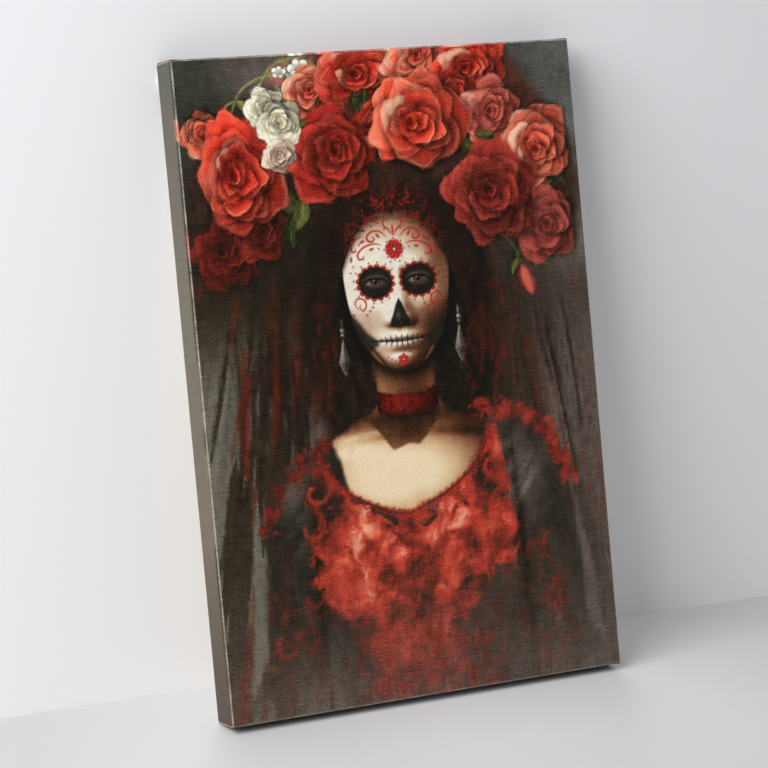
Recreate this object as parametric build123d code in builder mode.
"""A gallery-wrapped canvas print on a keyed pine stretcher frame.

Millimetres. X runs across the picture, Z runs up it, and the painted face looks along -Y.
The origin is the middle of the footprint, on the surface that the bottom edge stands on.
"""

from build123d import *

import os
from math import atan, degrees

# ---- overall sizes ----
face_width = 406.4  # across the wrapped canvas
face_height = 609.6  # up the wrapped canvas
wrap_depth = 38.1  # front of the canvas to the back of its flaps

# ---- canvas ----
cloth = 0.5  # thickness of the primed cloth
front_edge_radius = 2.6  # outside radius where the cloth turns round the front edge
flap_width = 23.0  # cloth turned over the back of each bar

# ---- stretcher bars ----
bar_width = 32.0  # across the bar, in the plane of the picture
bead_width = 6.0  # flat bead that carries the cloth along the outer edge
bead_relief = 4.5  # how far the bevel falls behind the cloth at the inner edge
edge_ease = 0.3  # extra rounding of the bar's bead inside the turned cloth
inner_chamfer = 2.0  # eased inner back corner

# ---- corner joints ----
tongue_inset = 8.0  # outer face of the frame to the end of a tongue
tongue_thickness = 4.0
tongue_play = 0.2  # total play of a tongue or key in its slot
first_layer = 11.0  # back of the bar to the slot that the side bars carry
second_layer = 20.5  # back of the bar to the slot that the top and bottom bars carry

# ---- keys ----
key_tip_inset = 14.0  # outer face of the frame to the tip of a driven key
key_proud = 15.0  # how far a driven key stands out of its slot
key_tip_width = 4.0
key_head_width = 12.5
key_gap = 0.05  # gap on each long side of a driven key
key_corner_radius = 1.2

# ---- staples ----
staple_crown = 10.0  # length of the crown
staple_leg = 8.0
staple_wire_width = 1.2
staple_wire_height = 0.6
staple_inset = 15.0  # outer face of the frame to the staples
staple_pitch = 62.0  # about how far apart they are
staple_end_margin = 30.0  # corner to the first staple

# ---- sawtooth hanger ----
hanger_length = 48.0
hanger_height = 9.0
hanger_sheet = 1.0
hanger_rise = 1.6  # gap behind the toothed middle
hanger_foot = 9.0  # flat end that the nail goes through
hanger_ramp = 2.0  # length of the slope from foot to middle
hanger_inset = 15.0  # top of the frame to the middle of the strip
tooth_pitch = 3.0
tooth_depth = 1.8
nail_radius = 0.7
nail_hole_gap = 0.15
nail_head_radius = 1.9
nail_head_height = 0.5
nail_length = 11.0

# ---- bumpers ----
bumper_radius = 6.4
bumper_height = 3.6
bumper_edge_radius = 1.4
bumper_inset = 13.0  # outer faces of the frame to the middle of a bumper

# ---- worked out from the above ----
overall_depth = wrap_depth + bumper_height
front_y = -overall_depth / 2
back_y = front_y + wrap_depth  # outside of the flaps
wood_back_y = back_y - cloth  # back of the bars
bar_depth = wrap_depth - 2 * cloth
bar_inner = cloth + bar_width  # outer face of the canvas to the inner face of a bar
slot_thickness = tongue_thickness + tongue_play
key_thickness = tongue_thickness
key_length = bar_inner + key_proud - key_tip_inset
key_slope = (key_head_width - key_tip_width) / key_length

FRONT = (0, -1, 0)
SIDES = {
    "bottom": Plane(origin=(0, wood_back_y, 0), x_dir=(1, 0, 0), z_dir=FRONT),
    "top": Plane(origin=(0, wood_back_y, face_height), x_dir=(-1, 0, 0), z_dir=FRONT),
    "left": Plane(
        origin=(-face_width / 2, wood_back_y, face_height / 2), x_dir=(0, 0, -1), z_dir=FRONT
    ),
    "right": Plane(
        origin=(face_width / 2, wood_back_y, face_height / 2), x_dir=(0, 0, 1), z_dir=FRONT
    ),
}
SPANS = {"bottom": face_width, "top": face_width, "left": face_height, "right": face_height}
TONGUE_LAYER = {"bottom": first_layer, "top": first_layer, "left": second_layer, "right": second_layer}
SLOT_LAYER = {"bottom": second_layer, "top": second_layer, "left": first_layer, "right": first_layer}

os.makedirs("parts", exist_ok=True)


def save(part, name):
    """Labels one finished piece and writes its STEP file."""
    part.label = name
    export_step(part, f"parts/{name}.step")
    print(f"{name}: {len(part.solids())} solid(s), {part.volume:.0f} mm3")


def cross_section(side):
    """The plane across a bar at its middle: x inwards, y towards the front."""
    return Plane(origin=side.origin, x_dir=side.y_dir, z_dir=side.x_dir)


def key_width(inset):
    """Width of a driven key, that far in from the outer face of the frame."""
    return key_tip_width + (inset - key_tip_inset) * key_slope


def end_point(span, end, along, inset):
    """A point near one end of a bar: along from the corner's other outer face, inset from the bar's own."""
    return (end * (span / 2 - along), inset)


# ---------------------------------------------------------------- stretcher bars
def stretcher_bar(side_name):
    """One mitred bar with a tongue and a keyed slot at each end."""
    side = SIDES[side_name]
    span = SPANS[side_name]
    with BuildPart() as bar:
        with BuildSketch(cross_section(side)):
            with BuildLine():
                Polyline(
                    (cloth, 0),
                    (bar_inner, 0),
                    (bar_inner, bar_depth - bead_relief),
                    (cloth + bead_width, bar_depth),
                    (cloth, bar_depth),
                    close=True,
                )
            make_face()
        extrude(amount=span / 2 - cloth, both=True)
        bead_edges = (
            bar.edges()
            .filter_by(Axis(side.origin, side.x_dir))
            .filter_by(lambda e: abs(side.to_local_coords(e.center()).Y - cloth) < 0.01)
            .filter_by(lambda e: side.to_local_coords(e.center()).Z > bar_depth / 2)
        )
        fillet(bead_edges, radius=front_edge_radius - cloth + edge_ease)
        inner_edges = (
            bar.edges()
            .filter_by(Axis(side.origin, side.x_dir))
            .filter_by(lambda e: abs(side.to_local_coords(e.center()).Y - bar_inner) < 0.01)
            .filter_by(lambda e: side.to_local_coords(e.center()).Z < bar_depth / 2)
        )
        chamfer(inner_edges, length=inner_chamfer)
        with BuildSketch(side):
            with BuildLine():
                Polyline(
                    end_point(span, -1, 0, 0),
                    end_point(span, 1, 0, 0),
                    end_point(span, 1, bar_inner, bar_inner),
                    end_point(span, -1, bar_inner, bar_inner),
                    close=True,
                )
            make_face()
        extrude(amount=bar_depth, mode=Mode.INTERSECT)
        for end in (-1, 1):
            with BuildSketch(side.offset(TONGUE_LAYER[side_name] + tongue_play / 2)):
                with BuildLine():
                    Polyline(
                        end_point(span, end, tongue_inset, tongue_inset),
                        end_point(span, end, tongue_inset, bar_inner),
                        end_point(span, end, bar_inner, bar_inner),
                        close=True,
                    )
                make_face()
            extrude(amount=tongue_thickness)
            slot_floor = tongue_inset - tongue_play
            with BuildSketch(side.offset(SLOT_LAYER[side_name])):
                with BuildLine():
                    Polyline(
                        end_point(span, end, slot_floor, slot_floor),
                        end_point(span, end, bar_inner + key_width(slot_floor) + 2 * key_gap, slot_floor),
                        end_point(span, end, bar_inner + key_width(bar_inner) + 2 * key_gap, bar_inner),
                        end_point(span, end, bar_inner, bar_inner),
                        close=True,
                    )
                make_face()
            extrude(amount=slot_thickness, mode=Mode.SUBTRACT)
    return bar.part


for name in SIDES:
    save(stretcher_bar(name), f"{name}_stretcher_bar")


# ---------------------------------------------------------------- corner keys
def corner_key(side_name, end):
    """The hardwood key in the slot at one end of a bar, lying along the next bar's inner face."""
    side = SIDES[side_name]
    span = SPANS[side_name]
    head = bar_inner + key_proud
    near = bar_inner + key_gap
    with BuildPart() as key:
        with BuildSketch(side.offset(SLOT_LAYER[side_name] + tongue_play / 2)):
            with BuildLine():
                Polyline(
                    end_point(span, end, near, key_tip_inset),
                    end_point(span, end, near + key_tip_width, key_tip_inset),
                    end_point(span, end, near + key_head_width, head),
                    end_point(span, end, near, head),
                    close=True,
                )
            make_face()
        extrude(amount=key_thickness)
        head_edges = (
            key.edges()
            .filter_by(Axis.Y)
            .filter_by(lambda e: side.to_local_coords(e.center()).Y > bar_inner)
        )
        fillet(head_edges, radius=key_corner_radius)
    return key.part


def corner_name(side_name, end):
    """The corner at that end of a bar, such as top_left."""
    point = SIDES[side_name].from_local_coords((end * SPANS[side_name] / 2, 0, 0))
    upright = "top" if point.Z > face_height / 2 else "bottom"
    across = "right" if point.X > 0 else "left"
    return f"{upright}_{across}"


for name in SIDES:
    direction = "level" if name in ("left", "right") else "upright"
    for end in (-1, 1):
        save(corner_key(name, end), f"{corner_name(name, end)}_{direction}_key")

# ---------------------------------------------------------------- canvas
middle_y = (front_y + back_y) / 2
middle_z = face_height / 2
with BuildPart() as canvas:
    with Locations((0, middle_y, middle_z)):
        Box(face_width, wrap_depth, face_height)
    outer_edges = canvas.faces().sort_by(Axis.Y)[0].edges()
    fillet(outer_edges, radius=front_edge_radius)
    inner_width = face_width - 2 * cloth
    inner_height = face_height - 2 * cloth
    with BuildSketch(Plane(origin=(0, wood_back_y, middle_z), x_dir=(1, 0, 0), z_dir=FRONT)):
        Rectangle(inner_width, inner_height)
    extrude(amount=bar_depth - front_edge_radius, mode=Mode.SUBTRACT)
    with BuildSketch(
        Plane(origin=(0, front_y + cloth + front_edge_radius, middle_z), x_dir=(1, 0, 0), z_dir=FRONT)
    ):
        Rectangle(inner_width, inner_height)
    hollow = extrude(amount=front_edge_radius, mode=Mode.PRIVATE)
    hollow_edges = hollow.faces().sort_by(Axis.Y)[0].edges()
    add(hollow.fillet(front_edge_radius - cloth, hollow_edges), mode=Mode.SUBTRACT)
    with BuildSketch(Plane(origin=(0, back_y, middle_z), x_dir=(1, 0, 0), z_dir=FRONT)):
        Rectangle(face_width - 2 * flap_width, face_height - 2 * flap_width)
    extrude(amount=2 * cloth, mode=Mode.SUBTRACT)
save(canvas.part, "canvas")


# ---------------------------------------------------------------- staples
def staple_places(side_name):
    """Where the staples stand along one bar, evenly spaced, leaving out what the hanger covers."""
    run = SPANS[side_name] - 2 * staple_end_margin
    count = round(run / staple_pitch) + 1
    spacing = run / (count - 1)
    places = [-run / 2 + spacing * n for n in range(count)]
    if side_name == "top":
        clear = (hanger_length + staple_crown) / 2 + 2
        places = [place for place in places if abs(place) > clear]
    return places


with BuildPart() as staples:
    for name, side in SIDES.items():
        outside = side.offset(-cloth - staple_wire_height)
        crown_places = [(place, staple_inset) for place in staple_places(name)]
        with BuildSketch(outside):
            with Locations(*crown_places):
                Rectangle(staple_crown, staple_wire_width)
        extrude(amount=staple_wire_height)
        leg_offset = (staple_crown - staple_wire_height) / 2
        with BuildSketch(outside):
            for place, inset in crown_places:
                with Locations((place - leg_offset, inset), (place + leg_offset, inset)):
                    Rectangle(staple_wire_height, staple_wire_width)
        extrude(amount=staple_leg + cloth)
save(staples.part, "canvas_staples")

# ---------------------------------------------------------------- sawtooth hanger
hanger_z = face_height - hanger_inset
hanger_half = hanger_length / 2
rise_start = hanger_half - hanger_foot
rise_end = rise_start - hanger_ramp
nail_x = hanger_half - hanger_foot / 2
tooth_count = int(2 * rise_end / tooth_pitch) - 1
with BuildPart() as hanger:
    with BuildSketch(Plane(origin=(0, 0, hanger_z - hanger_height / 2), x_dir=(1, 0, 0), z_dir=(0, 0, 1))):
        with BuildLine():
            Polyline(
                (-hanger_half, back_y),
                (-rise_start, back_y),
                (-rise_end, back_y + hanger_rise),
                (rise_end, back_y + hanger_rise),
                (rise_start, back_y),
                (hanger_half, back_y),
                (hanger_half, back_y + hanger_sheet),
                (rise_start, back_y + hanger_sheet),
                (rise_end, back_y + hanger_rise + hanger_sheet),
                (-rise_end, back_y + hanger_rise + hanger_sheet),
                (-rise_start, back_y + hanger_sheet),
                (-hanger_half, back_y + hanger_sheet),
                close=True,
            )
        make_face()
    extrude(amount=hanger_height)
    nail_plane = Plane(origin=(0, back_y + hanger_sheet, hanger_z), x_dir=(-1, 0, 0), z_dir=(0, 1, 0))
    with Locations(nail_plane):
        with Locations((-nail_x, 0), (nail_x, 0)):
            Hole(radius=nail_radius + nail_hole_gap)
    tooth_plane = Plane(
        origin=(0, back_y + hanger_rise - hanger_sheet, hanger_z - hanger_height / 2),
        x_dir=(-1, 0, 0),
        z_dir=(0, 1, 0),
    )
    with BuildSketch(tooth_plane):
        for n in range(tooth_count):
            x = (n - (tooth_count - 1) / 2) * tooth_pitch
            with BuildLine():
                Polyline((x - tooth_pitch / 2, 0), (x, tooth_depth), (x + tooth_pitch / 2, 0), close=True)
            make_face()
    extrude(amount=3 * hanger_sheet, mode=Mode.SUBTRACT)
save(hanger.part, "sawtooth_hanger")

with BuildPart() as nails:
    shank_plane = Plane(origin=(0, back_y + hanger_sheet, hanger_z), x_dir=(-1, 0, 0), z_dir=(0, 1, 0))
    with BuildSketch(shank_plane):
        with Locations((-nail_x, 0), (nail_x, 0)):
            Circle(nail_radius)
    extrude(amount=-nail_length)
    with BuildSketch(shank_plane):
        with Locations((-nail_x, 0), (nail_x, 0)):
            Circle(nail_head_radius)
    extrude(amount=nail_head_height)
save(nails.part, "hanger_nails")


# ---------------------------------------------------------------- bumpers
def bumper(across):
    """A soft dome on the back of one bottom corner; across is -1 or 1."""
    centre = (across * (face_width / 2 - bumper_inset), back_y, bumper_inset)
    with BuildPart() as pad:
        with BuildSketch(Plane(origin=centre, x_dir=(-1, 0, 0), z_dir=(0, 1, 0))):
            Circle(bumper_radius)
        extrude(amount=bumper_height)
        fillet(pad.faces().sort_by(Axis.Y)[-1].edges(), radius=bumper_edge_radius)
    return pad.part


save(bumper(-1), "bottom_left_bumper")
save(bumper(1), "bottom_right_bumper")

print(f"key slope: {degrees(atan(key_slope)):.1f} degrees, key length {key_length:.1f} mm")
